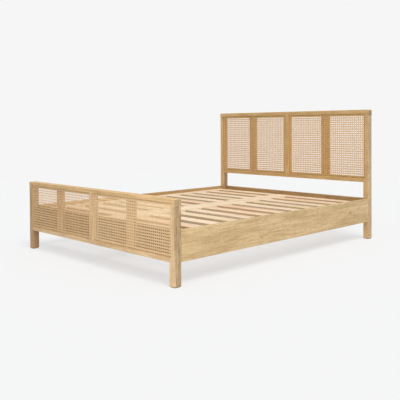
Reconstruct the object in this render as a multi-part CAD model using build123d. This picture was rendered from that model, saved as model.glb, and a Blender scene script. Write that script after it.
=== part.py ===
from build123d import *
import os
from dataclasses import dataclass

# A cane bed frame for a queen mattress. The headboard and the footboard are frames of solid wood
# that hold two sheets of cane webbing each. Side rails hang between them on steel hook plates, and
# a deck of slats in two lift-out halves rests on ledgers and on a centre beam with three legs.
# Millimetres. The origin is on the floor under the middle, X runs across and Y to the head end.

# Driving sizes of the whole bed
bed_width = 1650.0
bed_length = 2146.0
headboard_height = 1045.0
footboard_height = 505.0
floor_gap = 141.0
rail_height = 184.0
deck_top = 300.0

# Posts
post_width = 48.0
post_depth = 52.0
post_outer_ease = 7.0
post_inner_ease = 2.0
post_foot_ease = 5.0
pad_thickness = 3.0
pad_inset = 6.0

# Rails of the two boards
head_top_rail = 47.0
head_panel_bottom = 457.0
head_bottom_rail = 46.0
head_bottom_depth = 36.0
foot_top_rail = 39.0
foot_bottom_rail = 43.0
foot_bottom_depth = 28.0
edge_ease = 3.0
head_corner_radius = 10.0
foot_corner_radius = 5.0

# Bed rails
side_rail_thickness = 30.0
side_rail_inset = 2.0
end_rail_thickness = 24.0

# Upright boards behind the cane
divider_width = 75.0
divider_thickness = 20.0
divider_place = 408.0
cover_width = 42.0

# Cane sheets, laid in a rebate and wedged into a groove by a spline
rebate_width = 15.0
rebate_depth = 8.0
cane_thickness = 2.5
cane_lip = 1.5
groove_width = 5.0
groove_depth = 6.0
spline_proud = 1.5
spline_round = 1.2
cover_overlap = cover_width / 2
sheet_gap = 2.0

# The webbing has a gap about every 18 mm. It is drawn here with wider gaps, in the same share
net_pitch = 62.0
net_open = 0.56

# Mortises and tenons
tenon_start = 16.0
tenon_thickness = 10.0
tenon_length = 25.0
tenon_shoulder = 8.0
stub_size = 22.0
stub_length = 22.0
divider_tenon_width = 55.0
divider_tenon_thickness = 8.0
divider_tenon_length = 10.0
end_tenon_thickness = 12.0
end_tenon_height = 140.0

# Hook plates that hang the side rails on the posts
plate_width = 16.0
plate_thickness = 3.0
plate_low = 158.0
plate_high = 308.0
hook_seats = (190.0, 256.0)
hook_thickness = 5.0
hook_height = 14.0
hook_drop = 9.0
hook_nose = 6.0
slot_height = 26.0
slot_width = 6.0
pocket_width = 8.0
pocket_depth = 9.0
pocket_over = 12.0
plate_screws_at = (167.0, 231.0, 299.0)

# Wood screws
screw_shank = 4.0
screw_head = 8.0
screw_sink = 3.0
screw_bite = 15.0
screw_sides = 8

# Slatted deck
stile_thickness = 20.0
outer_stile = 75.0
inner_stile = 79.0
deck_room = 1.0
slat_count = 12
slat_pitch = 170.5
slat_width = 90.0
slat_thickness = 18.0
slat_ease = 1.5
slat_tenon_length = 15.0
slat_tenon_width = 66.0
slat_tenon_thickness = 8.0
deck_length = 2 * 985.0

# What carries the deck
ledger_width = 30.0
ledger_height = 40.0
ledger_length = 1980.0
ledger_screws = 5
beam_width = 100.0
beam_height = 45.0
cleat_width = 150.0
cleat_depth = 25.0
cleat_height = 70.0
cleat_grip = 25.0
cleat_screw_out = 62.0
leg_top = 45.0
leg_foot = 35.0
leg_stub = 20.0
leg_places = {"foot": -600.0, "middle": 0.0, "head": 600.0}

half_width = bed_width / 2
half_length = bed_length / 2
post_inner = half_width - post_width
joint_y = half_length - post_depth
rail_top = floor_gap + rail_height
rail_outer = half_width - side_rail_inset
rail_inner = rail_outer - side_rail_thickness
cane_front = rebate_depth - cane_thickness
groove_edge = rebate_width - groove_width
deck_low = deck_top - stile_thickness
beam_low = deck_low - beam_height


@dataclass
class Board:
    """A headboard or footboard. Its own Y is 0 on the face with the cane and grows to its back."""
    name: str
    front: float
    top: float
    top_rail: float
    bottom: float
    bottom_rail: float
    bottom_depth: float
    corner: float

    @property
    def open_low(self):
        return self.bottom + self.bottom_rail

    @property
    def open_high(self):
        return self.top - self.top_rail

    @property
    def rebate_low(self):
        return self.open_low - rebate_width

    @property
    def rebate_high(self):
        return self.open_high + rebate_width


headboard = Board("headboard", joint_y, headboard_height, head_top_rail, head_panel_bottom,
                  head_bottom_rail, head_bottom_depth, head_corner_radius)
footboard = Board("footboard", -half_length, footboard_height, foot_top_rail, floor_gap,
                  foot_bottom_rail, foot_bottom_depth, foot_corner_radius)


def span(x0, x1, y0, y1, z0, z1):
    """A box from its lowest to its highest corner."""
    middle = Pos((x0 + x1) / 2, (y0 + y1) / 2, (z0 + z1) / 2)
    return middle * Box(x1 - x0, y1 - y0, z1 - z0)


def both_sides(shape):
    """A shape and its mirror image across the bed."""
    return shape + mirror(shape, about=Plane.YZ)


def to_left(shape):
    return mirror(shape, about=Plane.YZ)


def at_corners(shape):
    """A shape at the right head corner, and its images at the other three."""
    right = [shape, mirror(shape, about=Plane.XZ)]
    return right + [to_left(one) for one in right]


def eased(shape, axis, radius):
    return fillet(shape.edges().filter_by(axis), radius)


def keep(name, shape):
    export_step(shape, os.path.join("parts", name + ".step"))


def in_place(board, shape):
    return Pos(0, board.front, 0) * shape


def rebate(board):
    """What the rebate and the spline groove take from the frame around the cane."""
    across = post_inner + rebate_width
    low, high = board.rebate_low, board.rebate_high
    bed = span(-across, across, 0, rebate_depth, low, high)
    depth = rebate_depth + groove_depth
    ring = span(-across, across, rebate_depth, depth, low, high)
    inner = across - groove_width
    ring -= span(-inner, inner, rebate_depth, depth, low + groove_width, high - groove_width)
    return bed + ring


def bottom_tenon(board):
    """The tenon of the bottom rail, which also cuts its mortise in the post."""
    low = board.bottom + tenon_shoulder
    high = board.rebate_low - 1
    deep = tenon_start + tenon_thickness
    return span(post_inner, post_inner + tenon_length, tenon_start, deep, low, high)


def end_tenon():
    """The tenon of the bed rail between the posts, at the back of the board."""
    back = post_depth - (end_rail_thickness - end_tenon_thickness) / 2
    low = floor_gap + (rail_height - end_tenon_height) / 2
    return span(post_inner, post_inner + tenon_length, back - end_tenon_thickness, back,
                low, low + end_tenon_height)


def top_stub(board):
    """The stub tenon on a post, which the top rail sits on."""
    x = half_width - post_width / 2
    y = post_depth / 2
    half = stub_size / 2
    return span(x - half, x + half, y - half, y + half, board.open_high,
                board.open_high + stub_length)


def hook_place():
    return rail_inner + side_rail_thickness / 2


def plate_blank(y0, y1):
    x = hook_place()
    return span(x - plate_width / 2, x + plate_width / 2, y0, y1, plate_low, plate_high)


def countersunk(direction, length):
    """A wood screw whose flat head is at the origin. It also cuts its own hole."""
    rim = RegularPolygon(screw_head / 2, screw_sides)
    neck = RegularPolygon(screw_shank / 2, screw_sides)
    head = loft([rim, Pos(0, 0, screw_sink) * neck], ruled=True)
    return Plane(origin=(0, 0, 0), z_dir=direction) * (head + extrude(neck, length))


def plate_screws(way):
    """The three screws of a plate, which run into the post (1) or into the rail (-1)."""
    screw = countersunk((0, way, 0), plate_thickness + 2 * screw_bite)
    return [Pos(hook_place(), joint_y, z) * screw for z in plate_screws_at]


def post_plate():
    """The slotted plate, let in flush in the post."""
    plate = plate_blank(joint_y, joint_y + plate_thickness)
    x = hook_place()
    for seat in hook_seats:
        plate -= span(x - slot_width / 2, x + slot_width / 2, joint_y,
                      joint_y + plate_thickness, seat, seat + slot_height)
    for hole in plate_screws(1):
        plate -= hole
    return plate


def rail_plate():
    """The hook plate, let in flush in the end of the side rail, with its two hooks."""
    plate = plate_blank(joint_y - plate_thickness, joint_y)
    for hole in plate_screws(-1):
        plate -= hole
    x = hook_place()
    half = hook_thickness / 2
    behind = joint_y + plate_thickness
    for seat in hook_seats:
        top = seat + hook_height
        plate += span(x - half, x + half, joint_y, behind, seat, top)
        plate += span(x - half, x + half, behind, behind + hook_nose, seat - hook_drop, top)
    return plate


def post_pocket():
    """What the plate, its hooks and its screws take from the post."""
    cut = plate_blank(joint_y, joint_y + plate_thickness)
    x = hook_place()
    behind = joint_y + plate_thickness
    for seat in hook_seats:
        cut += span(x - pocket_width / 2, x + pocket_width / 2, behind, behind + pocket_depth,
                    seat - pocket_over, seat + slot_height)
    for hole in plate_screws(1):
        cut += hole
    return cut


def rail_pocket():
    """What the hook plate and its screws take from the end of the side rail."""
    cut = plate_blank(joint_y - plate_thickness, joint_y)
    for hole in plate_screws(-1):
        cut += hole
    return cut


def post(board):
    """The right post, with its tenon, mortises, rebate and hook pocket."""
    body = span(post_inner, half_width, 0, post_depth, pad_thickness, board.open_high)
    body = chamfer(body.faces().sort_by(Axis.Z)[0].edges(), post_foot_ease)
    upright = body.edges().filter_by(Axis.Z).sort_by(Axis.X)
    body = fillet(upright[2:], post_outer_ease)
    upright = body.edges().filter_by(Axis.Z).sort_by(Axis.X)
    body = fillet(upright[:2], post_inner_ease)
    body += top_stub(board)
    body -= rebate(board)
    body -= bottom_tenon(board)
    body -= end_tenon()
    body = in_place(board, body)
    pocket = at_corners(post_pocket())
    return body - (pocket[0] if board.front > 0 else pocket[1])


def top_rail(board):
    """The rail that lies over both posts, with rounded ends and eased edges."""
    body = span(-half_width, half_width, 0, post_depth, board.open_high, board.top)
    ends = body.faces().sort_by(Axis.Z)[-1].edges().filter_by(Axis.Y)
    body = fillet(ends, board.corner)
    outline = []
    for face in (body.faces().sort_by(Axis.Y)[0], body.faces().sort_by(Axis.Y)[-1]):
        outline += [edge for edge in face.edges() if edge.center().Z > board.open_high + 1]
    body = fillet(outline, edge_ease)
    body -= rebate(board)
    body -= both_sides(top_stub(board))
    for x in (-divider_place, 0, divider_place):
        body -= divider_stub(x, board.open_high, 1)
    return in_place(board, body)


def bottom_rail_of(board):
    """The rail under the cane, between the posts."""
    body = span(-post_inner, post_inner, 0, board.bottom_depth, board.bottom, board.open_low)
    lower = body.faces().sort_by(Axis.Z)[0].edges().filter_by(Axis.X)
    body = fillet(lower, edge_ease)
    body -= rebate(board)
    body += both_sides(bottom_tenon(board))
    for x in (-divider_place, 0, divider_place):
        body -= divider_stub(x, board.open_low, -1)
    return in_place(board, body)


def end_rail(board):
    """The bed rail between the posts, flush with the back of the board."""
    front = post_depth - end_rail_thickness
    body = span(-post_inner, post_inner, front, post_depth, floor_gap, rail_top)
    body = eased(body, Axis.X, edge_ease)
    body += both_sides(end_tenon())
    return in_place(board, body)


def divider_stub(x, z, way):
    """The tenon at one end of an upright board."""
    far = z + way * divider_tenon_length
    half = divider_tenon_width / 2
    return span(x - half, x + half, tenon_start, tenon_start + divider_tenon_thickness,
                min(z, far), max(z, far))


def divider(board, x):
    """An upright board behind the cane, tenoned into both rails."""
    half = divider_width / 2
    body = span(x - half, x + half, rebate_depth, rebate_depth + divider_thickness,
                board.open_low, board.open_high)
    body += divider_stub(x, board.open_low, -1)
    body += divider_stub(x, board.open_high, 1)
    return in_place(board, body)


def cover_strip(board):
    """The strip that covers the two inner edges of the cane, flush with the frame."""
    half = cover_width / 2
    body = span(-half, half, 0, cane_front, board.rebate_low, board.rebate_high)
    front = body.faces().sort_by(Axis.Y)[0].edges().filter_by(Axis.Z)
    return in_place(board, fillet(front, spline_round))


def net_holes(width, height):
    """Square gaps on an even grid that fills a sheet."""
    columns = int(width // net_pitch)
    rows = int(height // net_pitch)
    side = net_pitch * net_open
    return [loc * Rectangle(side, side)
            for loc in GridLocations(width / columns, height / rows, columns, rows)]


def cane(board):
    """The right sheet of webbing: a flat net whose outer edges turn down into the groove."""
    outer = post_inner + groove_edge
    low = board.rebate_low + groove_width
    high = board.rebate_high - groove_width
    inner = sheet_gap / 2
    width, height = outer - inner, high - low
    plane = Plane(origin=((inner + outer) / 2, rebate_depth, (low + high) / 2),
                  x_dir=(1, 0, 0), z_dir=(0, -1, 0))
    face = Rectangle(width, height)
    face -= net_holes(width, height)
    sheet = extrude(plane * face, cane_thickness)
    deep = rebate_depth + groove_depth - 1
    rim = span(inner, outer + cane_lip, cane_front, deep, low - cane_lip, high + cane_lip)
    rim -= span(inner, outer, cane_front, deep, low, high)
    rim -= span(inner, cover_overlap, rebate_depth, deep, low - cane_lip, high + cane_lip)
    return in_place(board, sheet + rim)


def spline(board):
    """The wedge of reed that holds the right sheet, along its top, outer side and bottom."""
    inner = cover_overlap
    outer = post_inner + rebate_width
    low, high = board.rebate_low, board.rebate_high
    wide = groove_width - cane_lip
    front = cane_front - spline_proud
    deep = rebate_depth + groove_depth - 1
    body = span(inner, outer, front, deep, low, high)
    body -= span(inner, outer - wide, front, deep, low + wide, high - wide)
    face = body.faces().sort_by(Axis.Y)[0]
    edges = [edge for edge in face.edges() if edge.center().X > inner + 1]
    return in_place(board, fillet(edges, spline_round))


def side_rail():
    """The right side rail, let in at both ends for its hook plates."""
    body = span(rail_inner, rail_outer, -joint_y, joint_y, floor_gap, rail_top)
    body = eased(body, Axis.Y, edge_ease)
    for pocket in at_corners(rail_pocket())[:2]:
        body -= pocket
    for hole in ledger_screw_set():
        body -= hole
    return body


def ledger_screw_set():
    """The screws that hold the right ledger to its rail."""
    screw = countersunk((1, 0, 0), ledger_width + screw_bite)
    step = ledger_length / ledger_screws
    x = rail_inner - ledger_width
    z = deck_low - ledger_height / 2
    return [Pos(x, (i - (ledger_screws - 1) / 2) * step, z) * screw for i in range(ledger_screws)]


def ledger():
    """The strip along the right rail that the deck rests on."""
    half = ledger_length / 2
    body = span(rail_inner - ledger_width, rail_inner, -half, half, deck_low - ledger_height,
                deck_low)
    for hole in ledger_screw_set():
        body -= hole
    return body


def slat_places():
    return [(i - (slat_count - 1) / 2) * slat_pitch for i in range(slat_count)]


def stile_edges():
    """The X of the inner stile's two edges and the outer stile's two edges, on the right."""
    outer = rail_inner - deck_room
    return deck_room, deck_room + inner_stile, outer - outer_stile, outer


def slat_tenons(y):
    """The tenons at both ends of the right slat at this place."""
    _, near, far, _ = stile_edges()
    middle = deck_top - slat_thickness / 2
    half = slat_tenon_thickness / 2
    wide = slat_tenon_width / 2
    size = (y - wide, y + wide, middle - half, middle + half)
    return (span(near - slat_tenon_length, near, *size)
            + span(far, far + slat_tenon_length, *size))


def slat(y):
    """The right and the left slat of one row."""
    _, near, far, _ = stile_edges()
    body = span(near, far, y - slat_width / 2, y + slat_width / 2, deck_top - slat_thickness,
                deck_top)
    top = body.faces().sort_by(Axis.Z)[-1].edges().filter_by(Axis.X)
    body = chamfer(top, slat_ease)
    body += slat_tenons(y)
    return Compound(children=[body, to_left(body)])


def stile(x0, x1):
    """A long member of the deck, mortised for the slats."""
    half = deck_length / 2
    body = span(x0, x1, -half, half, deck_low, deck_top)
    for y in slat_places():
        body -= slat_tenons(y)
    return body


def beam():
    """The centre beam under both halves of the deck, mortised for its legs."""
    y_head = half_length - end_rail_thickness
    half = beam_width / 2
    body = span(-half, half, -joint_y, y_head, beam_low, deck_low)
    for y in leg_places.values():
        body -= leg_tenon(y)
    return body


def leg_tenon(y):
    half = leg_stub / 2
    return span(-half, half, y - half, y + half, beam_low, beam_low + leg_stub)


def centre_leg(y):
    """A leg that tapers on all four sides, with its tenon in the beam."""
    low, high = leg_foot / 2, leg_top / 2
    outline = [(-low, pad_thickness), (low, pad_thickness), (high, beam_low), (-high, beam_low)]
    across = Plane.XZ * Polygon(*outline, align=None)
    along = Plane.YZ * Polygon(*outline, align=None)
    shaft = extrude(across, high, both=True) & extrude(along, high, both=True)
    return Pos(0, y, 0) * shaft + leg_tenon(y)


def cleat(y, way):
    """The notched block on an end rail that carries one end of the beam."""
    half = cleat_width / 2
    far = y + way * cleat_depth
    top = beam_low + cleat_grip
    y0, y1 = min(y, far), max(y, far)
    body = span(-half, half, y0, y1, top - cleat_height, top)
    body -= span(-beam_width / 2, beam_width / 2, y0, y1, beam_low, top)
    for hole in cleat_screw_set(y, way):
        body -= hole
    return body


def cleat_screw_set(y, way):
    """The two screws of a cleat, which bite into the end rail."""
    screw = countersunk((0, -way, 0), cleat_depth + screw_bite)
    z = beam_low + cleat_grip / 2
    front = y + way * cleat_depth
    return [Pos(x, front, z) * screw for x in (-cleat_screw_out, cleat_screw_out)]


def pads():
    """Felt under the four posts and the three centre legs."""
    size_x = post_width / 2 - pad_inset
    size_y = post_depth / 2 - pad_inset
    x = half_width - post_width / 2
    y = half_length - post_depth / 2
    corner = span(x - size_x, x + size_x, y - size_y, y + size_y, 0, pad_thickness)
    half = leg_foot / 2 - 2
    middle = [span(-half, half, place - half, place + half, 0, pad_thickness)
              for place in leg_places.values()]
    return at_corners(corner), middle


def cleat_ends():
    """Where the two end rails face the beam, and which way their cleats stand out."""
    return {"foot": (-joint_y, 1), "head": (half_length - end_rail_thickness, -1)}


def make_board(board):
    right = post(board)
    keep(board.name + "_right_post", right)
    keep(board.name + "_left_post", to_left(right))
    keep(board.name + "_top_rail", top_rail(board))
    keep(board.name + "_bottom_rail", bottom_rail_of(board))
    keep(board.name + "_left_divider", divider(board, -divider_place))
    keep(board.name + "_right_divider", divider(board, divider_place))
    keep(board.name + "_centre_stile", divider(board, 0))
    keep(board.name + "_cover_strip", cover_strip(board))
    for name, shape in (("cane", cane(board)), ("spline", spline(board))):
        keep(board.name + "_right_" + name, shape)
        keep(board.name + "_left_" + name, to_left(shape))


def make_rails():
    keep("right_side_rail", side_rail())
    keep("left_side_rail", to_left(side_rail()))
    keep("right_ledger", ledger())
    keep("left_ledger", to_left(ledger()))
    for name, board in (("head", headboard), ("foot", footboard)):
        rail = end_rail(board)
        y, way = cleat_ends()[name]
        for hole in cleat_screw_set(y, way):
            rail -= hole
        keep(name + "_end_rail", rail)
        keep(name + "_beam_cleat", cleat(y, way))


def make_deck():
    inner_low, inner_high, outer_low, outer_high = stile_edges()
    for name, x0, x1 in (("inner", inner_low, inner_high), ("outer", outer_low, outer_high)):
        shape = stile(x0, x1)
        keep("right_" + name + "_stile", shape)
        keep("left_" + name + "_stile", to_left(shape))
    for number, y in enumerate(slat_places(), 1):
        keep("slat_%02d" % number, slat(y))
    keep("centre_beam", beam())
    for name, y in leg_places.items():
        keep("centre_leg_" + name, centre_leg(y))


def make_hardware():
    keep("post_slot_plates", Compound(children=at_corners(post_plate())))
    keep("rail_hook_plates", Compound(children=at_corners(rail_plate())))
    screws = []
    for way in (1, -1):
        for screw in plate_screws(way):
            screws += at_corners(screw)
    keep("plate_screws", Compound(children=screws))
    screws = []
    for screw in ledger_screw_set():
        screws += [screw, to_left(screw)]
    keep("ledger_screws", Compound(children=screws))
    screws = []
    for y, way in cleat_ends().values():
        screws += cleat_screw_set(y, way)
    keep("cleat_screws", Compound(children=screws))
    corners, middle = pads()
    keep("post_pads", Compound(children=corners))
    keep("centre_leg_pads", Compound(children=middle))


os.makedirs("parts", exist_ok=True)
make_board(headboard)
make_board(footboard)
make_rails()
make_deck()
make_hardware()
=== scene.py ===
import math
from dataclasses import dataclass

import bpy
from mathutils import Matrix, Vector


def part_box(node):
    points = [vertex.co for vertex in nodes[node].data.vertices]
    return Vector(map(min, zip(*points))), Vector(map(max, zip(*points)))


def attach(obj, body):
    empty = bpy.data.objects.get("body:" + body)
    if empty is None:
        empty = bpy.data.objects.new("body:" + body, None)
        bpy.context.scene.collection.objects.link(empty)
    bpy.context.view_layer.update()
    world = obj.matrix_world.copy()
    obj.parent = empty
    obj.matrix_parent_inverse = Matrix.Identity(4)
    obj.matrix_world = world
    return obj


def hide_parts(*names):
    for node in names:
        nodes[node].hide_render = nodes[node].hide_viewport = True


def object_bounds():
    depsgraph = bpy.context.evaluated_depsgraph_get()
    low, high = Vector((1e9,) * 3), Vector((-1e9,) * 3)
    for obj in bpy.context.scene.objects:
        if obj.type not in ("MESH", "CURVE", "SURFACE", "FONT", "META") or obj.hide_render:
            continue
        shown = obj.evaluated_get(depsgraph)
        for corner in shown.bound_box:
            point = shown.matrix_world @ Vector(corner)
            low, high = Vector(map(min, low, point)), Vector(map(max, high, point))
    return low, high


# A cane bed frame in pale wood. The CAD nodes keep their shapes and get their finishes here,
# and the four cane sheets are woven strand by strand in place of their nodes.
# Metres. The origin is on the floor under the middle, X runs across and Y to the head end.

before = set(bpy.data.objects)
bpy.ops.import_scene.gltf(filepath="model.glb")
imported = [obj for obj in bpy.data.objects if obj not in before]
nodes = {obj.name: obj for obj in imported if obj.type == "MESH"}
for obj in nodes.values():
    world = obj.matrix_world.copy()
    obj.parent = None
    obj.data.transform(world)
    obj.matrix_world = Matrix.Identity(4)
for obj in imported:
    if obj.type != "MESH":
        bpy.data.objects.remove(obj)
cad_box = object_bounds()
half_width = cad_box[1][0]
MM = 0.001

# Camera, as it stood for the photograph
CAMERA_PLACE = Vector((3.3628, -3.3415, 0.9126))
CAMERA_AZIMUTH = math.radians(45.752)
CAMERA_PITCH = math.radians(0.918)
CAMERA_ROLL = math.radians(-0.327)
CAMERA_LENS = 54.44
CAMERA_SHIFT = -0.1584

# Light, and a floor that keeps the shadow but fades into the background
SKY = 0.45
SUN = 2.10
SUN_FROM = (0.60, -0.20, 1.0)
SUN_SPREAD = 32.0
LAMP_PLACE = (1.7, -2.6, 1.3)
LAMP_AIM = (0.6, -1.0, 0.3)
LAMP_SIZE = 1.2
LAMP_POWER = 18.5
BACKGROUND = (0.921, 0.921, 0.921)
FLOOR_COLOUR = (0.900, 0.912, 0.932)
FLOOR_LIFT = 0.67
FLOOR_RADIUS = 9.0
FLOOR_SOLID = 4.0
FLOOR_GONE = 8.5

# Cane webbing
PITCH = 18.2 * MM
STRAND_WIDTH = 2.7 * MM
STRAND_THICKNESS = 0.6 * MM
PAIR_HALF = 2.5 * MM
WEAVE_LIFT = 0.4 * MM
SLANT_LIFT = 0.9 * MM
MERGE = 0.05 * MM
SHEET_MIDDLE = 1.25 * MM
SHEET_LIP = 1.5 * MM
DIAGONAL = 0.7071

# Wood
RINGS_PER_METRE = 130
HEART_ACROSS = 80 * MM
HEART_DEEP = 45 * MM
ARRIS = 3.5 * MM
WOOD_RELIEF = 0.30 * MM
BROWNING = (0.60, 0.55, 0.50)
NO_TINT = (1.0, 1.0, 1.0)


class Wire:
    """A socket in a material. Its operators add the nodes of a sum."""

    def __init__(self, skin, socket):
        self.skin = skin
        self.socket = socket

    def __add__(self, other):
        return self.skin.maths("ADD", self, other)

    def __radd__(self, other):
        return self.skin.maths("ADD", other, self)

    def __sub__(self, other):
        return self.skin.maths("SUBTRACT", self, other)

    def __rsub__(self, other):
        return self.skin.maths("SUBTRACT", other, self)

    def __mul__(self, other):
        return self.skin.maths("MULTIPLY", self, other)

    def __rmul__(self, other):
        return self.skin.maths("MULTIPLY", other, self)

    def __truediv__(self, other):
        return self.skin.maths("DIVIDE", self, other)

    def __rtruediv__(self, other):
        return self.skin.maths("DIVIDE", other, self)

    def __pow__(self, other):
        return self.skin.maths("POWER", self, other)

    def __rpow__(self, other):
        return self.skin.maths("POWER", other, self)

    def __abs__(self):
        return self.skin.maths("ABSOLUTE", self)


class Skin:
    """A material or a world under construction, with one method that makes any node."""

    def __init__(self, owner):
        self.owner = owner
        owner.use_nodes = True
        self.tree = owner.node_tree
        self.tree.nodes.clear()

    def node(self, kind, settings=None, **sockets):
        """Adds a node, sets it up, then gives its sockets their values or links."""
        made = self.tree.nodes.new(kind)
        for key, value in (settings or {}).items():
            if key == "stops":
                self.stops(made.color_ramp, value)
            else:
                setattr(made, key, value)
        for key, value in sockets.items():
            name = key.replace("_", " ")
            socket = made.inputs[int(name[1:])] if name[1:].isdigit() else made.inputs[name]
            if isinstance(value, Wire):
                self.tree.links.new(value.socket, socket)
            else:
                socket.default_value = value
        return made

    def wire(self, kind, output, settings=None, **sockets):
        return Wire(self, self.node(kind, settings, **sockets).outputs[output])

    def stops(self, ramp, stops):
        while len(ramp.elements) < len(stops):
            ramp.elements.new(0.5)
        for element, (position, colour) in zip(ramp.elements, stops):
            element.position = position
            element.color = (*colour, 1.0)

    def place(self):
        return self.wire("ShaderNodeTexCoord", "Object")

    def facing(self):
        return self.wire("ShaderNodeTexCoord", "Normal")

    def maths(self, operation, *values):
        sockets = {"i%d" % i: value for i, value in enumerate(values)}
        return self.wire("ShaderNodeMath", 0, {"operation": operation}, **sockets)

    def axes(self, vector):
        split = self.node("ShaderNodeSeparateXYZ", i0=vector)
        return [Wire(self, split.outputs[i]) for i in range(3)]

    def vector(self, x, y, z):
        return self.wire("ShaderNodeCombineXYZ", 0, i0=x, i1=y, i2=z)

    def scaled(self, vector, factors):
        return self.wire("ShaderNodeVectorMath", 0, {"operation": "MULTIPLY"}, i0=vector,
                         i1=factors)

    def noise(self, vector, factors, detail=2.0, roughness=0.55):
        """Noise of about as many blots to the metre, along each axis, as the factors say."""
        return self.wire("ShaderNodeTexNoise", 0, Vector=self.scaled(vector, factors),
                         Scale=1.0, Detail=detail, Roughness=roughness)

    def smooth(self, value, low, high):
        """0 below low, 1 above high, eased between them."""
        return self.wire("ShaderNodeMapRange", 0, {"interpolation_type": "SMOOTHSTEP"},
                         Value=value, From_Min=low, From_Max=high)

    def mix(self, factor, first, second, blend="MIX"):
        """A colour between two, or the first one blended with the second."""
        made = self.node("ShaderNodeMix", {"data_type": "RGBA", "blend_type": blend}, i0=factor)
        for index, value in ((6, first), (7, second)):
            if isinstance(value, Wire):
                self.tree.links.new(value.socket, made.inputs[index])
            else:
                made.inputs[index].default_value = (*value, 1.0)
        return Wire(self, made.outputs[2])

    def bump(self, height, distance, strength=1.0):
        return self.wire("ShaderNodeBump", 0, Height=height, Distance=distance,
                         Strength=strength)

    def finish(self, colour, roughness, normal, metallic=0.0, sheen=0.0, specular=0.5):
        shader = self.wire("ShaderNodeBsdfPrincipled", 0, Base_Color=colour,
                           Roughness=roughness, Metallic=metallic, Sheen_Weight=sheen,
                           Specular_IOR_Level=specular, Normal=normal)
        self.node("ShaderNodeOutputMaterial", Surface=shader)
        return self.owner


def new_skin(name):
    return Skin(bpy.data.materials.new(name))


def srgb(red, green, blue):
    """A colour that is given as it looks, 0 to 255, in the light's own scale."""
    scaled = [value / 255 for value in (red, green, blue)]
    return tuple(v / 12.92 if v <= 0.04045 else ((v + 0.055) / 1.055) ** 2.4 for v in scaled)


def shade(colour, amount):
    return tuple(min(1.0, value * amount) for value in colour)


def blend(colour, tint):
    return tuple(min(1.0, value * factor) for value, factor in zip(colour, tint))


@dataclass(frozen=True)
class Timber:
    """One tone of wood: three colours as they look, and how strongly its marks and sheen show."""
    ground: tuple
    dark: tuple
    rubbed: tuple
    rings: float = 0.30
    streaks: float = 0.60
    pores: float = 0.60
    specular: float = 0.35

    def colours(self):
        """Its three colours in the light's own scale."""
        return [srgb(*colour) for colour in (self.ground, self.dark, self.rubbed)]


TIMBERS = {
    "foot_frame": Timber((225, 194, 150), (184, 148, 102), (240, 216, 176)),
    "foot_top_rail": Timber((222, 186, 134), (178, 140, 92), (238, 212, 166)),
    # A darker copy of the foot frame: painted shade on the left foot post.
    "painted_shade_foot_left_post": Timber((194, 168, 124), (156, 126, 84), (214, 190, 148)),
    "head_frame": Timber((229, 193, 138), (186, 146, 92), (240, 212, 164)),
    "head_rail": Timber((223, 187, 130), (178, 138, 84), (236, 206, 156)),
    # Painted shade on wood that stands just behind the cane.
    "painted_shade_behind_cane": Timber((196, 160, 122), (156, 119, 84), (210, 176, 138), specular=0.1),
    # Painted shade on the foot end rail's front, behind the footboard's cane.
    "shaded_rail": Timber((136, 90, 54), (104, 66, 38), (152, 106, 68), specular=0.0),
    "side_rail": Timber((213, 185, 139), (168, 136, 90), (236, 212, 170), 0.24, 0.56),
    # Painted shade on the left side rail away from its outer face.
    "painted_shade_far_rail": Timber((192, 158, 112), (152, 118, 76), (214, 182, 136)),
    "end_rail": Timber((204, 164, 110), (162, 122, 74), (222, 186, 138)),
    "post_side": Timber((208, 181, 138), (126, 95, 62), (222, 197, 156), 0.45, 0.95),
    "slat": Timber((247, 226, 196), (214, 180, 142), (255, 241, 220), 0.24, 0.50, 0.35),
    "deck": Timber((210, 182, 142), (176, 142, 102), (228, 204, 168)),
}


def edge_mask(skin, place, low, high, reach):
    """1 on the arrises of a square-cut board and 0 at reach from them."""
    gaps = []
    for value, a, b in zip(place, low, high):
        gaps.append(skin.maths("MINIMUM", value - a, b - value))
    small = skin.maths("MINIMUM", gaps[0], gaps[1])
    large = skin.maths("MAXIMUM", gaps[0], gaps[1])
    second = skin.maths("MAXIMUM", small, skin.maths("MINIMUM", large, gaps[2]))
    return 1 - skin.smooth(second, 0.0, reach)


def growth_rings(skin, board, number):
    """Dark late wood in rings round a heart that lies outside the board."""
    _, across, through = skin.axes(board)
    drift = skin.noise(board, (1.4, 8, 8)) - 0.5
    out = across + HEART_ACROSS + 0.0019 * (number % 17) + drift * 0.06
    deep = through + HEART_DEEP + 0.0023 * (number % 7) + drift * 0.02
    radius = (out * out + deep * deep) ** 0.5
    flutter = skin.noise(board, (4, 70, 70))
    wave = skin.maths("SINE", (radius * RINGS_PER_METRE + flutter * 1.3 + number) * math.tau)
    return (wave * 0.5 + 0.5) ** 2.0


def knot_mask(skin, place, knot):
    """A small oval knot with its own rings: its place and its reach along Y and along Z."""
    _, y, z = place
    middle_y, middle_z, reach_y, reach_z = knot
    aside, above = (y - middle_y) / reach_y, (z - middle_z) / reach_z
    distance = (aside * aside + above * above) ** 0.5
    rings = skin.maths("SINE", distance * 26) * 0.25 + 0.75
    return (1 - skin.smooth(distance, 0.35, 1.5)) * rings


def tones(skin, timber, tint, flank, place):
    """The ground, dark and rubbed colours, tinted, and the flank's where it takes over."""
    colours = [blend(colour, tint) for colour in timber.colours()]
    if flank is not None:
        other, axis, start, stop = flank
        change = skin.smooth(place["XYZ".index(axis)], start, stop)
        colours = [skin.mix(change, *pair) for pair in zip(colours, other.colours())]
    return colours


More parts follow.
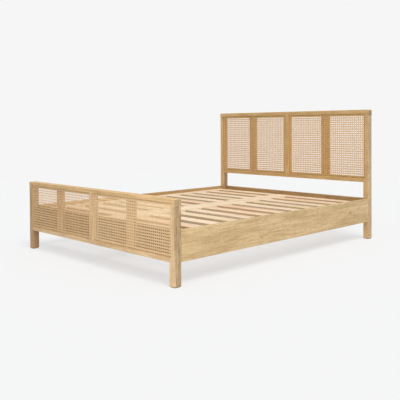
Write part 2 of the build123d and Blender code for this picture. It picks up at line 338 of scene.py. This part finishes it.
def wood(name, timber, grain, low, high, mirrored=False, flank=None, knots=(), tint=NO_TINT,
         painted_shade_axis=""):
    """Satin wood whose grain runs along one axis, with rings, streaks, pores, and pale arrises
    that are part wear, part painted highlight.

    A flank is a second timber, an axis and the two places on it between which it takes over.
    The last argument is the axis whose faces are darkened as painted shade, as in the gaps
    between slats.
    """
    skin = new_skin(name)
    x, y, z = skin.axes(skin.place())
    if mirrored:
        x = abs(x)
    place = (x, y, z)
    board = skin.vector(*{"X": (x, y, z), "Y": (y, z, x), "Z": (z, x, y)}[grain])
    number = sum(ord(letter) * (i + 3) for i, letter in enumerate(name)) % 97
    board = skin.wire("ShaderNodeVectorMath", 0, {"operation": "ADD"}, i0=board,
                      i1=(0.37 * number, 0.011 * (number % 11), 0.007 * (number % 5)))

    ground, dark, rubbed = tones(skin, timber, tint, flank, place)
    rings = growth_rings(skin, board, number)
    clouds = skin.noise(board, (2.2, 12, 12), 3.0)
    streaks = skin.noise(board, (5, 95, 95), 4.0, 0.65)
    fibres = skin.noise(board, (9, 520, 520), 2.0, 0.7)
    mottle = skin.noise(board, (17, 22, 22), 4.0, 0.65)
    pores = skin.noise(board, (34, 760, 760), 1.0)
    flecks = skin.smooth(skin.noise(board, (70, 190, 190), 2.0, 0.6), 0.56, 0.68)
    pore_mask = skin.smooth(pores, 0.57, 0.70) * (rings * 0.6 + 0.4)
    ring_force = skin.smooth(clouds, 0.35, 0.65) * timber.rings + timber.rings * 0.4

    colour = skin.mix(rings * ring_force, ground, dark)
    colour = skin.mix(skin.smooth(streaks, 0.46, 0.70) * timber.streaks, colour, dark)
    colour = skin.mix(skin.smooth(streaks, 0.46, 0.30) * timber.streaks * 0.7, colour, rubbed)
    colour = skin.mix(skin.smooth(clouds, 0.44, 0.66) * 0.40, colour, dark)
    colour = skin.mix(skin.smooth(mottle, 0.50, 0.66) * timber.streaks * 0.34, colour, dark)
    colour = skin.mix(skin.smooth(mottle, 0.46, 0.32) * timber.streaks * 0.20, colour, rubbed)
    deeper = skin.mix(1.0, dark, BROWNING, "MULTIPLY")
    colour = skin.mix(skin.smooth(fibres, 0.50, 0.76) * 0.28, colour, deeper)
    colour = skin.mix(pore_mask * timber.pores, colour, deeper)
    colour = skin.mix(flecks * timber.pores * 0.60, colour, deeper)
    for knot in knots:
        colour = skin.mix(knot_mask(skin, place, knot) * 0.6, colour, deeper)

    # End grain is duller, and the arrises are paler where the fibres let them: part rubbed wear,
    # part painted highlight.
    facing = skin.axes(skin.facing())["XYZ".index(grain)]
    end_grain = skin.smooth(abs(facing), 0.75, 0.95)
    colour = skin.mix(end_grain * 0.30, colour, deeper)
    # Faces along that axis turn towards the deeper brown: painted shade, as in the gaps between
    # slats.
    if painted_shade_axis:
        sides = skin.axes(skin.facing())["XYZ".index(painted_shade_axis)]
        colour = skin.mix(skin.smooth(abs(sides), 0.6, 0.9) * 0.50, colour, deeper)
    worn_and_highlit_arris = edge_mask(skin, place, low, high, ARRIS)
    breakup = skin.noise(skin.vector(*place), (40, 40, 40), 3.0)
    colour = skin.mix(worn_and_highlit_arris * skin.smooth(breakup, 0.35, 0.60) * 0.45, colour, rubbed)

    height = rings * 0.30 + fibres * 0.5 + streaks * 0.4 - pore_mask * 1.1
    rough = fibres * 0.14 + rings * 0.08 - worn_and_highlit_arris * 0.08 + 0.53
    return skin.finish(colour, rough, skin.bump(height, WOOD_RELIEF, 0.6),
                       specular=timber.specular)


CANE_TONES = {
    "golden_cane": (srgb(248, 208, 140), srgb(228, 178, 106), srgb(160, 106, 52)),
    "pale_cane": (srgb(253, 224, 177), srgb(238, 198, 142), srgb(164, 112, 64)),
    # A darker copy of the pale cane: painted shade on the footboard's left sheet.
    "painted_shade_cane": (srgb(244, 210, 162), srgb(226, 184, 130), srgb(156, 106, 60)),
}


def cane_skin(name):
    """Peeled cane: each strand has its own tint, painted shade along its edges, fine lines and a
    few nodes.
    """
    skin = new_skin(name)
    pale, warm, brown = CANE_TONES[name]
    run = skin.wire("ShaderNodeAttribute", 1, {"attribute_name": "strand_run"})
    side = skin.wire("ShaderNodeAttribute", 2, {"attribute_name": "strand_side"})
    x, _, z = skin.axes(skin.place())
    run_x, _, run_z = skin.axes(run)
    along = x * run_x + z * run_z
    across = x * run_z - z * run_x
    lie = skin.vector(along, across, run_x * 0.05)
    tint = skin.noise(lie, (1.3, 170, 170), 1.0)
    lines = skin.noise(lie, (22, 1900, 100), 2.0)
    knots = skin.noise(lie, (60, 260, 100), 1.0)
    colour = skin.mix(skin.smooth(tint, 0.30, 0.70), pale, warm)
    colour = skin.mix(skin.smooth(lines, 0.50, 0.74) * 0.40, colour, brown)
    # Each strand darkens towards its edges: painted shade across its crown.
    colour = skin.mix(skin.smooth(abs(side), 0.50, 1.0) * 0.50, colour, brown)
    colour = skin.mix(skin.smooth(knots, 0.70, 0.78) * 0.55, colour, shade(brown, 0.8))
    return skin.finish(colour, lines * 0.20 + 0.38, skin.bump(lines, 0.10 * MM, 0.5))


def reed_skin():
    """The spline: a peeled reed with long fibres and a few dark scuffs."""
    skin = new_skin("reed_spline")
    place = skin.place()
    lines = skin.noise(place, (30, 700, 30), 3.0, 0.7)
    scuffs = skin.noise(place, (60, 60, 60), 3.0)
    colour = skin.mix(skin.smooth(lines, 0.35, 0.65), srgb(218, 184, 138), srgb(184, 146, 102))
    colour = skin.mix(skin.smooth(scuffs, 0.62, 0.75) * 0.4, colour, srgb(140, 104, 70))
    return skin.finish(colour, lines * 0.2 + 0.45, skin.bump(lines, 0.15 * MM, 0.5))


def metal_skin(name, clean, dull, rough):
    """Plated steel with brushing marks and dull, stained patches."""
    skin = new_skin(name)
    place = skin.place()
    brush = skin.noise(place, (900, 900, 60))
    mask = skin.smooth(skin.noise(place, (70, 70, 70), 4.0), 0.45, 0.70)
    colour = skin.mix(mask * 0.7, clean, dull)
    roughness = brush * 0.18 + mask * 0.15 + rough
    return skin.finish(colour, roughness, skin.bump(brush, 0.05 * MM, 0.4), metallic=0.95)


def felt_skin():
    """Pressed felt, with tangled fibres and flecks."""
    skin = new_skin("pressed_felt")
    place = skin.place()
    tangle = skin.noise(place, (900, 900, 900), 4.0, 0.8)
    fleck = skin.noise(place, (2600, 2600, 2600), 1.0)
    colour = skin.mix(tangle, srgb(104, 92, 82), srgb(72, 62, 54))
    colour = skin.mix(skin.smooth(fleck, 0.66, 0.72) * 0.6, colour, srgb(150, 138, 124))
    return skin.finish(colour, 0.95, skin.bump(tangle, 0.4 * MM, 0.8), sheen=0.3)


def paint(node, material):
    """Gives a CAD node one finish all over."""
    mesh = nodes[node].data
    mesh.materials.clear()
    mesh.materials.append(material)


GRAIN_ENDINGS = {"post": "Z", "divider": "Z", "centre_stile": "Z", "cover_strip": "Z",
                 "inner_stile": "Y", "outer_stile": "Y", "ledger": "Y", "side_rail": "Y",
                 "beam": "Y"}
TIMBER_PIECES = {"footboard_left_post": "painted_shade_foot_left_post", "footboard_top_rail": "foot_top_rail",
                 "headboard_top_rail": "head_rail", "headboard_bottom_rail": "head_rail",
                 "foot_end_rail": "shaded_rail"}
TIMBER_STARTS = {"headboard": "head_frame", "footboard": "foot_frame", "slat_": "slat",
                 "head_end": "end_rail", "centre_": "deck"}
TIMBER_ENDINGS = {"side_rail": "side_rail", "stile": "slat", "ledger": "deck", "cleat": "deck"}
OUTER_FLANK = (half_width - 8 * MM, half_width - 2 * MM)
INNER_FLANK = (45 * MM - half_width, 48.5 * MM - half_width)
FACE_DEPTH = (4 * MM, 8 * MM)
KNOTS = {"right_side_rail": ((0.75, 0.245, 0.016, 0.010), (0.82, 0.215, 0.012, 0.006),
                             (-0.31, 0.192, 0.010, 0.006), (0.32, 0.285, 0.008, 0.005)),
         "footboard_right_post": ((-1.050, 0.455, 0.006, 0.030), (-1.030, 0.395, 0.005, 0.035),
                                  (-1.057, 0.320, 0.003, 0.030), (-1.040, 0.205, 0.005, 0.024))}
SLAT_INNER_END = 65 * MM
SLAT_TINTS = (NO_TINT, (1.0, 0.91, 0.865), (0.955, 0.955, 0.885), (0.97, 0.90, 0.82),
              (1.03, 1.04, 1.04))


def grain_of(name):
    """The axis that a node's grain runs along."""
    if name.startswith("centre_leg"):
        return "Z"
    for ending, axis in GRAIN_ENDINGS.items():
        if name.endswith(ending):
            return axis
    return "X"


def timber_of(name):
    """The tone of a node, by its name, its place behind the cane, or its group. Some tones are
    darker copies that paint shade.
    """
    if name in TIMBER_PIECES:
        return TIMBERS[TIMBER_PIECES[name]]
    if name.endswith("divider"):
        return TIMBERS["painted_shade_behind_cane"]
    for start, key in TIMBER_STARTS.items():
        if name.startswith(start):
            return TIMBERS[key]
    for ending, key in TIMBER_ENDINGS.items():
        if name.endswith(ending):
            return TIMBERS[key]
    return TIMBERS["deck"]


def flank_of(name, low):
    """A node's second timber, with the axis and the two places where it takes over. Most of these
    split painted shade from plain wood: behind the cane, on the foot end rail's front and on the
    left side rail.
    """
    # The left posts' inner faces, behind the cane, get painted shade.
    if name.endswith("board_left_post"):
        return (TIMBERS["painted_shade_behind_cane"], "X", *INNER_FLANK)
    if name.endswith(("board_right_post", "board_top_rail")):
        return (TIMBERS["post_side"], "X", *OUTER_FLANK)
    # The dividers' fronts, behind the cane, are painted shade; their backs are the plain head
    # frame tone.
    if name.endswith("divider"):
        return (TIMBERS["head_frame"], "Y", *(low.y + depth for depth in FACE_DEPTH))
    # The foot end rail's front is painted shade; its back is the plain end rail tone.
    if name == "foot_end_rail":
        return (TIMBERS["end_rail"], "Y", *(low.y + depth for depth in FACE_DEPTH))
    # The left side rail is painted shade away from its outer face.
    if name == "left_side_rail":
        return (TIMBERS["painted_shade_far_rail"], "X", *(low.x + depth for depth in FACE_DEPTH))
    return None


def dress_wood():
    """Gives every wooden node its own wood. A slat has two halves, which mirror each other."""
    for name in nodes:
        if name.endswith(("_cane", "_spline", "_pads", "_plates", "_screws")):
            continue
        low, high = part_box(name)
        finish = {"flank": flank_of(name, low), "knots": KNOTS.get(name, ())}
        if name.startswith("slat_"):
            low = Vector((SLAT_INNER_END, low.y, low.z))
            tint = SLAT_TINTS[int(name[-2:]) * 3 % len(SLAT_TINTS)]
            # The slats' faces along Y, in the gaps between them, get painted shade.
            finish = {"mirrored": True, "tint": tint, "painted_shade_axis": "Y"}
        paint(name, wood(name + "_wood", timber_of(name), grain_of(name), low, high, **finish))


def dress_hardware():
    """Gives the plates, screws, pads and splines their finishes."""
    steel = metal_skin("zinc_plate", srgb(186, 188, 190), srgb(128, 126, 122), 0.34)
    finishes = {"_plates": steel, "_screws": steel, "_pads": felt_skin(), "_spline": reed_skin()}
    for name in nodes:
        for ending, finish in finishes.items():
            if name.endswith(ending):
                paint(name, finish)


def nothing_selected():
    if bpy.context.object and bpy.context.object.mode != "OBJECT":
        bpy.ops.object.mode_set(mode="OBJECT")
    bpy.ops.object.select_all(action="DESELECT")


def strand(start, steps, turn):
    """Adds one strand: a three-sided ring across its run, pushed on from point to point."""
    bpy.ops.mesh.primitive_circle_add(vertices=3, radius=1.0, fill_type="NOTHING",
                                      location=start, rotation=(math.pi / 2, 0, turn))
    wide = STRAND_WIDTH / math.sqrt(3)
    tall = STRAND_THICKNESS / 1.5
    bpy.ops.object.mode_set(mode="EDIT")
    bpy.ops.mesh.select_all(action="SELECT")
    bpy.ops.transform.resize(value=(wide, 1.0, tall), orient_type="GLOBAL",
                             orient_matrix=Matrix.Rotation(turn, 3, "Z"),
                             orient_matrix_type="GLOBAL", center_override=start)
    for step in steps:
        bpy.ops.mesh.extrude_region_move(TRANSFORM_OT_translate={"value": step})
    bpy.ops.object.mode_set(mode="OBJECT")
    return bpy.context.object


def straight_route(length, offset, first_lift, upright):
    """The start and the steps of a strand that runs straight over one cell."""
    points = [(-length / 2, 0.0), (-PAIR_HALF, first_lift), (PAIR_HALF, -first_lift),
              (length / 2, 0.0)]
    if upright:
        places = [Vector((offset, run, lift)) for run, lift in points]
    else:
        places = [Vector((run, offset, lift)) for run, lift in points]
    return places[0], [b - a for a, b in zip(places, places[1:])]


def slant_route(wide, tall, way_x, way_y, lift):
    """The start and the steps of a strand that cuts one corner of a cell."""
    points = [(wide / 2, 0.0, -lift),
              (wide / 2 - PAIR_HALF, PAIR_HALF, -lift),
              (PAIR_HALF, tall / 2 - PAIR_HALF, lift),
              (0.0, tall / 2, lift)]
    places = [Vector((x * way_x, y * way_y, z)) for x, y, z in points]
    return places[0], [b - a for a, b in zip(places, places[1:])]


def note_strand(piece, run):
    """Writes on a strand the way it runs and how far each point is to its side."""
    note = piece.data.attributes.new("strand_run", "FLOAT_VECTOR", "POINT")
    for point in note.data:
        point.vector = run
    aside = Vector((run[2], -run[0], 0.0))
    places = [(piece.matrix_world @ vertex.co).dot(aside) for vertex in piece.data.vertices]
    middle = (max(places) + min(places)) / 2
    note = piece.data.attributes.new("strand_side", "FLOAT", "POINT")
    for point, place in zip(note.data, places):
        point.value = (place - middle) / (STRAND_WIDTH / 2)


def weave_cell(wide, tall):
    """One cell of the webbing, centred where two upright and two level strands cross."""
    parts = []
    nothing_selected()
    for side in (-1, 1):
        start, steps = straight_route(tall, side * PAIR_HALF, -side * WEAVE_LIFT, True)
        parts.append((strand(start, steps, 0.0), (0, 0, 1)))
        start, steps = straight_route(wide, side * PAIR_HALF, side * WEAVE_LIFT, False)
        parts.append((strand(start, steps, math.pi / 2), (1, 0, 0)))
    for way_x in (-1, 1):
        for way_y in (-1, 1):
            falling = way_x == way_y
            lift = SLANT_LIFT if falling else -SLANT_LIFT
            start, steps = slant_route(wide, tall, way_x, way_y, lift)
            turn = math.pi / 4 if falling else -math.pi / 4
            run = (DIAGONAL, 0, -DIAGONAL if falling else DIAGONAL)
            parts.append((strand(start, steps, turn), run))
    for piece, run in parts:
        note_strand(piece, run)
    nothing_selected()
    for piece, run in parts:
        piece.select_set(True)
    cell = parts[0][0]
    bpy.context.view_layer.objects.active = cell
    bpy.ops.object.join()
    bpy.ops.object.transform_apply(location=True, rotation=True, scale=True)
    return cell


def repeat(piece, count, step):
    """Repeats a piece along one axis and joins what meets."""
    array = piece.modifiers.new("repeat", "ARRAY")
    array.count = count
    array.use_relative_offset = False
    array.use_constant_offset = True
    array.constant_offset_displace = step
    array.use_merge_vertices = True
    array.merge_threshold = MERGE
    bpy.ops.object.modifier_apply(modifier=array.name)


def trim(piece, place, outward):
    """Cuts a sheet off square at a plane."""
    bpy.ops.object.mode_set(mode="EDIT")
    bpy.ops.mesh.select_all(action="SELECT")
    bpy.ops.mesh.bisect(plane_co=place, plane_no=outward, clear_outer=True)
    bpy.ops.object.mode_set(mode="OBJECT")


def weave_sheet(name, node, left, right, low, high, front):
    """Weaves one sheet between two edges, with a pair of strands on each of them."""
    columns = round((right - left) / PITCH)
    rows = round((high - low) / PITCH)
    wide = (right - left) / columns
    tall = (high - low) / rows
    sheet = weave_cell(wide, tall)
    repeat(sheet, columns + 1, (wide, 0, 0))
    repeat(sheet, rows, (0, tall, 0))
    sheet.location = (left, front, low + tall / 2)
    sheet.rotation_euler = (math.pi / 2, 0, 0)
    bpy.ops.object.transform_apply(location=True, rotation=True, scale=True)
    trim(sheet, (left, 0, 0), (-1, 0, 0))
    trim(sheet, (right, 0, 0), (1, 0, 0))
    bpy.ops.object.mode_set(mode="EDIT")
    bpy.ops.mesh.select_all(action="DESELECT")
    bpy.ops.mesh.select_mode(type="EDGE")
    bpy.ops.mesh.select_non_manifold()
    bpy.ops.mesh.fill_holes(sides=8)
    bpy.ops.mesh.select_all(action="SELECT")
    bpy.ops.mesh.normals_make_consistent(inside=False)
    bpy.ops.object.mode_set(mode="OBJECT")
    bpy.ops.object.shade_smooth_by_angle(angle=math.radians(60))
    sheet.name = name
    sheet.data.name = name
    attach(sheet, "root")
    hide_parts(node)
    return sheet


PANEL_CANES = {"headboard_left": "golden_cane", "headboard_right": "golden_cane",
               "footboard_left": "painted_shade_cane", "footboard_right": "pale_cane"}


def weave_panels():
    """Weaves the two sheets of each board. The footboard's left sheet takes a darker copy of its
    cane, as painted shade.
    """
    skins = {name: cane_skin(name) for name in CANE_TONES}
    for panel, tone in PANEL_CANES.items():
        node = panel + "_cane"
        low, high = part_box(node)
        left, right = low.x, high.x
        if panel.endswith("left"):
            left += SHEET_LIP
        else:
            right -= SHEET_LIP
        sheet = weave_sheet(panel + "_woven_cane", node, left, right, low.z + SHEET_LIP,
                            high.z - SHEET_LIP, low.y + SHEET_MIDDLE)
        sheet.data.materials.append(skins[tone])


def make_camera():
    """Sets the camera at the photograph's place, with the frame shifted down as it was."""
    azimuth, pitch, roll = CAMERA_AZIMUTH, CAMERA_PITCH, CAMERA_ROLL
    forward = Vector((-math.sin(azimuth) * math.cos(pitch), math.cos(azimuth) * math.cos(pitch),
                      -math.sin(pitch)))
    level = Vector((math.cos(azimuth), math.sin(azimuth), 0.0))
    upward = level.cross(forward)
    right = math.cos(roll) * level + math.sin(roll) * upward
    top = -math.sin(roll) * level + math.cos(roll) * upward
    turn = Matrix((right, top, -forward)).transposed()
    data = bpy.data.cameras.new("camera")
    data.lens = CAMERA_LENS
    data.sensor_width = 36.0
    data.shift_y = CAMERA_SHIFT
    data.clip_end = 100.0
    camera = bpy.data.objects.new("camera", data)
    camera.matrix_world = Matrix.Translation(CAMERA_PLACE) @ turn.to_4x4()
    bpy.context.scene.collection.objects.link(camera)
    bpy.context.scene.camera = camera


def make_sky():
    """A pale even sky for the light, and the plain background for the eye and for reflections."""
    world = bpy.data.worlds.new("sky")
    bpy.context.scene.world = world
    skin = Skin(world)
    path = skin.node("ShaderNodeLightPath")
    camera, glossy, clear = (Wire(skin, path.outputs[name]) for name in
                             ("Is Camera Ray", "Is Glossy Ray", "Is Transmission Ray"))
    seen = skin.maths("MAXIMUM", camera, skin.maths("MAXIMUM", glossy, clear))
    sky = skin.wire("ShaderNodeBackground", 0, Color=(1.0, 1.0, 1.0, 1.0), Strength=SKY)
    back = skin.wire("ShaderNodeBackground", 0, Color=(*BACKGROUND, 1.0))
    both = skin.wire("ShaderNodeMixShader", 0, i0=seen, i1=sky, i2=back)
    skin.node("ShaderNodeOutputWorld", Surface=both)


def make_lamps(floor):
    """A soft sun overhead, and a lamp by the foot end that leaves the floor even."""
    sun = bpy.data.lights.new("soft_sun", "SUN")
    sun.energy = SUN
    sun.angle = math.radians(SUN_SPREAD)
    sun_holder = bpy.data.objects.new("soft_sun", sun)
    sun_holder.rotation_euler = Vector(SUN_FROM).to_track_quat("Z", "Y").to_euler()
    bpy.context.scene.collection.objects.link(sun_holder)

    lamp = bpy.data.lights.new("foot_lamp", "AREA")
    lamp.shape = "DISK"
    lamp.size = LAMP_SIZE
    lamp.energy = LAMP_POWER
    holder = bpy.data.objects.new("foot_lamp", lamp)
    holder.location = LAMP_PLACE
    aim = Vector(LAMP_AIM) - Vector(LAMP_PLACE)
    holder.rotation_euler = aim.to_track_quat("-Z", "Y").to_euler()
    bpy.context.scene.collection.objects.link(holder)
    unlit = bpy.data.collections.new("not_lit_by_the_lamp")
    unlit.objects.link(floor)
    holder.light_linking.receiver_collection = unlit
    unlit.collection_objects[0].light_linking.link_state = "EXCLUDE"


def make_floor():
    """A pale floor that shows the camera a third of its shadow and fades into the background."""
    bpy.ops.mesh.primitive_circle_add(vertices=96, radius=FLOOR_RADIUS, fill_type="NGON",
                                      location=(0, 0, 0))
    floor = bpy.context.object
    floor.name = "floor"
    skin = new_skin("pale_floor")
    x, y, _ = skin.axes(skin.place())
    fade = skin.smooth((x * x + y * y) ** 0.5, FLOOR_SOLID, FLOOR_GONE)
    camera = skin.wire("ShaderNodeLightPath", "Is Camera Ray")
    grain = skin.noise(skin.place(), (300, 300, 300))
    colour = skin.mix(grain * 0.2, FLOOR_COLOUR, shade(FLOOR_COLOUR, 0.98))
    solid = skin.wire("ShaderNodeBsdfPrincipled", 0, Base_Color=colour, Roughness=0.9)
    glow = skin.wire("ShaderNodeEmission", 0, Color=(*BACKGROUND, 1.0))
    lifted = skin.wire("ShaderNodeMixShader", 0, i0=camera * FLOOR_LIFT, i1=solid, i2=glow)
    clear = skin.wire("ShaderNodeBsdfTransparent", 0)
    both = skin.wire("ShaderNodeMixShader", 0, i0=fade, i1=lifted, i2=clear)
    skin.node("ShaderNodeOutputMaterial", Surface=both)
    floor.data.materials.append(skin.owner)
    return floor


make_camera()
make_sky()
make_lamps(make_floor())
dress_wood()
dress_hardware()
weave_panels()

bpy.context.scene.view_settings.view_transform = "Standard"
